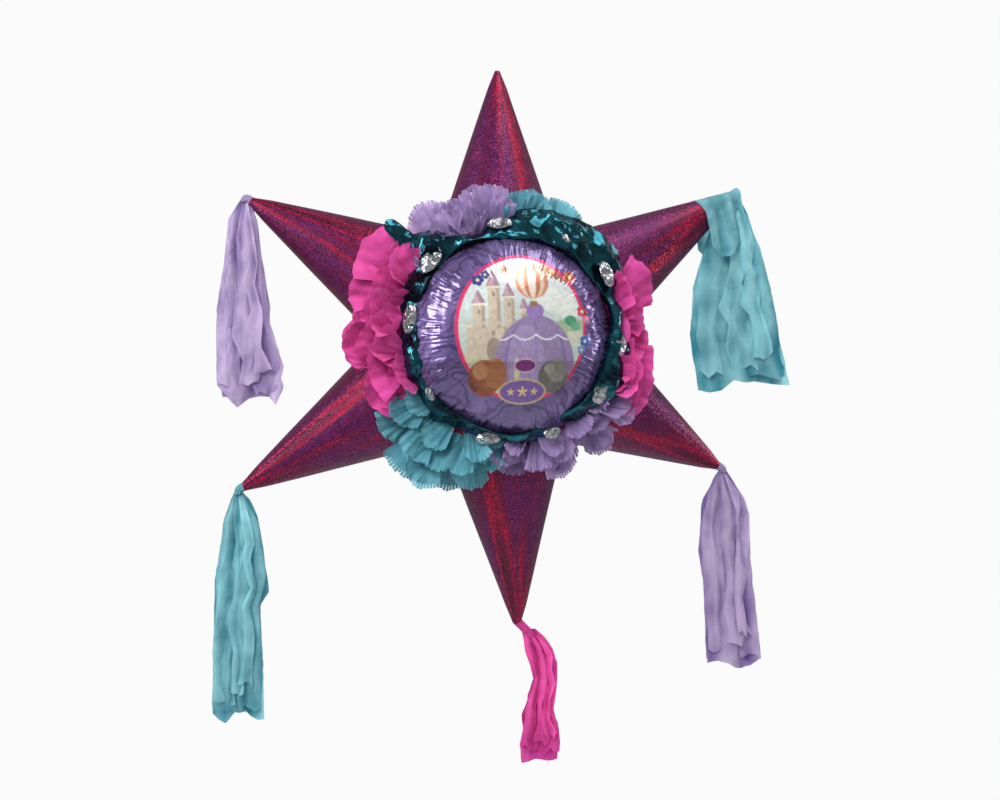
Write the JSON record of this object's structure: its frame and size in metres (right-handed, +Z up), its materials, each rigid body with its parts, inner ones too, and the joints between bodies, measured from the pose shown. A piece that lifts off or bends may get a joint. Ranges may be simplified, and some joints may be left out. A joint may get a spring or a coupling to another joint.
{
  "type": "star pinata",
  "caption": "Hanging star pinata: hollow paper ball, foil-covered card cones with tissue streamers, a round foil picture in a ruffled surround, a filling flap at the back.",
  "frame": {"origin": "centre of the hanger's wire eye, behind the top cone", "axes": "+Z up as it hangs, -Y the picture side, +X to the right seen from the picture side"},
  "size_m": [1.2351, 0.526, 1.4423],
  "materials": {
    "papier_mache": "layered torn newsprint and paste, matte",
    "card": "thin grey-brown card",
    "flap_card": "card faced with plum foil",
    "patch_card": "card faced with plum foil",
    "ribbon": "woven satin ribbon",
    "tape": "adhesive film tape",
    "foil_plum": "holographic metallised film, plum",
    "foil_teal": "crumpled metallised film, dark teal",
    "foil_silver": "crinkled foil",
    "foil_silver_film": "metallised film, bare",
    "picture_foil": "printed metallised film",
    "tissue_lavender": "crepe tissue paper",
    "tissue_teal": "crepe tissue paper",
    "tissue_pink": "crepe tissue paper",
    "steel_wire": "galvanised wire",
    "dowel_wood": "bare turned dowel"
  },
  "bodies": {
    "star": {"ball_shell": "papier_mache", "ball_foil_wrap": "foil_plum", "flap_hinge_tape": "tape", "cone_core_top": "card", "cone_core_upper_right": "card", "cone_core_lower_right": "card", "cone_core_bottom": "card", "cone_core_lower_left": "card", "cone_core_upper_left": "card", "cone_foil_top": "foil_plum", "cone_foil_upper_right": "foil_plum", "cone_foil_lower_right": "foil_plum", "cone_foil_bottom": "foil_plum", "cone_foil_lower_left": "foil_plum", "cone_foil_upper_left": "foil_plum", "tip_plug_top": "foil_plum", "streamer_twist_upper_left": "tissue_lavender", "streamer_twist_upper_right": "tissue_teal", "streamer_twist_lower_left": "tissue_teal", "streamer_twist_lower_right": "tissue_lavender", "streamer_twist_bottom": "tissue_pink", "hanger_wire": "steel_wire", "hanger_crossbar": "dowel_wood", "hanger_patch": "patch_card", "picture_balloon": "picture_foil", "balloon_seam": "picture_foil", "balloon_neck": "foil_silver_film", "foil_garland": "foil_teal", "silver_ovals": "foil_silver", "ruffle_outer_lavender_upper": "tissue_lavender", "ruffle_inner_lavender_upper": "tissue_lavender", "ruffle_outer_teal_upper": "tissue_teal", "ruffle_inner_teal_upper": "tissue_teal", "ruffle_outer_pink_right": "tissue_pink", "ruffle_inner_pink_right": "tissue_pink", "ruffle_outer_lavender_lower": "tissue_lavender", "ruffle_inner_lavender_lower": "tissue_lavender", "ruffle_outer_teal_lower": "tissue_teal", "ruffle_inner_teal_lower": "tissue_teal", "ruffle_outer_pink_left": "tissue_pink", "ruffle_inner_pink_left": "tissue_pink", "streamer_drape": "tissue_teal"},
    "flap": {"fill_flap": "flap_card", "flap_pull_tab": "ribbon"},
    "knot_upper_left": {"streamer_knot_upper_left": "tissue_lavender"},
    "streamer_upper_left": {"streamer_upper_left": "tissue_lavender"},
    "knot_upper_right": {"streamer_knot_upper_right": "tissue_teal"},
    "streamer_upper_right": {"streamer_upper_right": "tissue_teal"},
    "knot_lower_left": {"streamer_knot_lower_left": "tissue_teal"},
    "streamer_lower_left": {"streamer_lower_left": "tissue_teal"},
    "knot_lower_right": {"streamer_knot_lower_right": "tissue_lavender"},
    "streamer_lower_right": {"streamer_lower_right": "tissue_lavender"},
    "knot_bottom": {"streamer_knot_bottom": "tissue_pink"},
    "streamer_bottom": {"streamer_bottom": "tissue_pink"}
  },
  "joints": [
    {"name": "fill_flap_hinge", "type": "hinge", "parent": "star", "child": "flap", "pos_m": [0, 0.1789, -0.37], "axis": [1, 0, 0], "range_deg": [0, 110]},
    {"name": "upper_left_swing", "type": "hinge", "parent": "star", "child": "knot_upper_left", "pos_m": [-0.5127, -0.07, -0.14], "axis": [0, 1, 0], "range_deg": [0, 60]},
    {"name": "upper_left_sway", "type": "hinge", "parent": "knot_upper_left", "child": "streamer_upper_left", "pos_m": [-0.5127, -0.07, -0.14], "axis": [1, 0, 0], "range_deg": [-60, 60]},
    {"name": "upper_right_swing", "type": "hinge", "parent": "star", "child": "knot_upper_right", "pos_m": [0.53641, -0.07, -0.12508], "axis": [0, 1, 0], "range_deg": [-60, 3]},
    {"name": "upper_right_sway", "type": "hinge", "parent": "knot_upper_right", "child": "streamer_upper_right", "pos_m": [0.53641, -0.07, -0.12508], "axis": [1, 0, 0], "range_deg": [-60, 60]},
    {"name": "lower_left_swing", "type": "hinge", "parent": "star", "child": "knot_lower_left", "pos_m": [-0.53265, -0.07, -0.73123], "axis": [0, 1, 0], "range_deg": [-30, 60]},
    {"name": "lower_left_sway", "type": "hinge", "parent": "knot_lower_left", "child": "streamer_lower_left", "pos_m": [-0.53265, -0.07, -0.73123], "axis": [1, 0, 0], "range_deg": [-60, 60]},
    {"name": "lower_right_swing", "type": "hinge", "parent": "star", "child": "knot_lower_right", "pos_m": [0.48408, -0.07, -0.72341], "axis": [0, 1, 0], "range_deg": [-60, 30]},
    {"name": "lower_right_sway", "type": "hinge", "parent": "knot_lower_right", "child": "streamer_lower_right", "pos_m": [0.48408, -0.07, -0.72341], "axis": [1, 0, 0], "range_deg": [-60, 60]},
    {"name": "bottom_swing", "type": "hinge", "parent": "star", "child": "knot_bottom", "pos_m": [0.05784, -0.07, -1.05234], "axis": [0, 1, 0], "range_deg": [-40, 40]},
    {"name": "bottom_sway", "type": "hinge", "parent": "knot_bottom", "child": "streamer_bottom", "pos_m": [0.05784, -0.07, -1.05234], "axis": [1, 0, 0], "range_deg": [-60, 60]}
  ]
}
